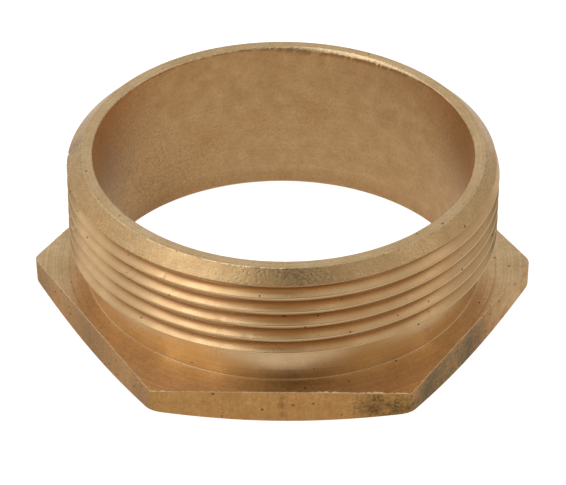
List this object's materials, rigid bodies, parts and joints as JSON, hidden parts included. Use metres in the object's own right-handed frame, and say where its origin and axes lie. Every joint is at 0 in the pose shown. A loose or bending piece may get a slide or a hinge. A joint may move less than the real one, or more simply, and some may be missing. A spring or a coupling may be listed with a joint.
{
  "type": "male threaded bush",
  "caption": "Brass male bush: a short barrel with an outside thread on a thin hexagon flange, with a relieved neck and a smooth through bore tapered at the flange end.",
  "frame": {"origin": "centre of the flange's underside, on the bore axis", "axes": "+Z along the bore axis from the hexagon flange towards the threaded end, +X towards a corner of the hexagon"},
  "size_m": [0.0466, 0.0406, 0.0159],
  "materials": {
    "turned_brass": "satin, as turned"
  },
  "bodies": {
    "root": {"male_bush": "turned_brass"}
  },
  "joints": []
}
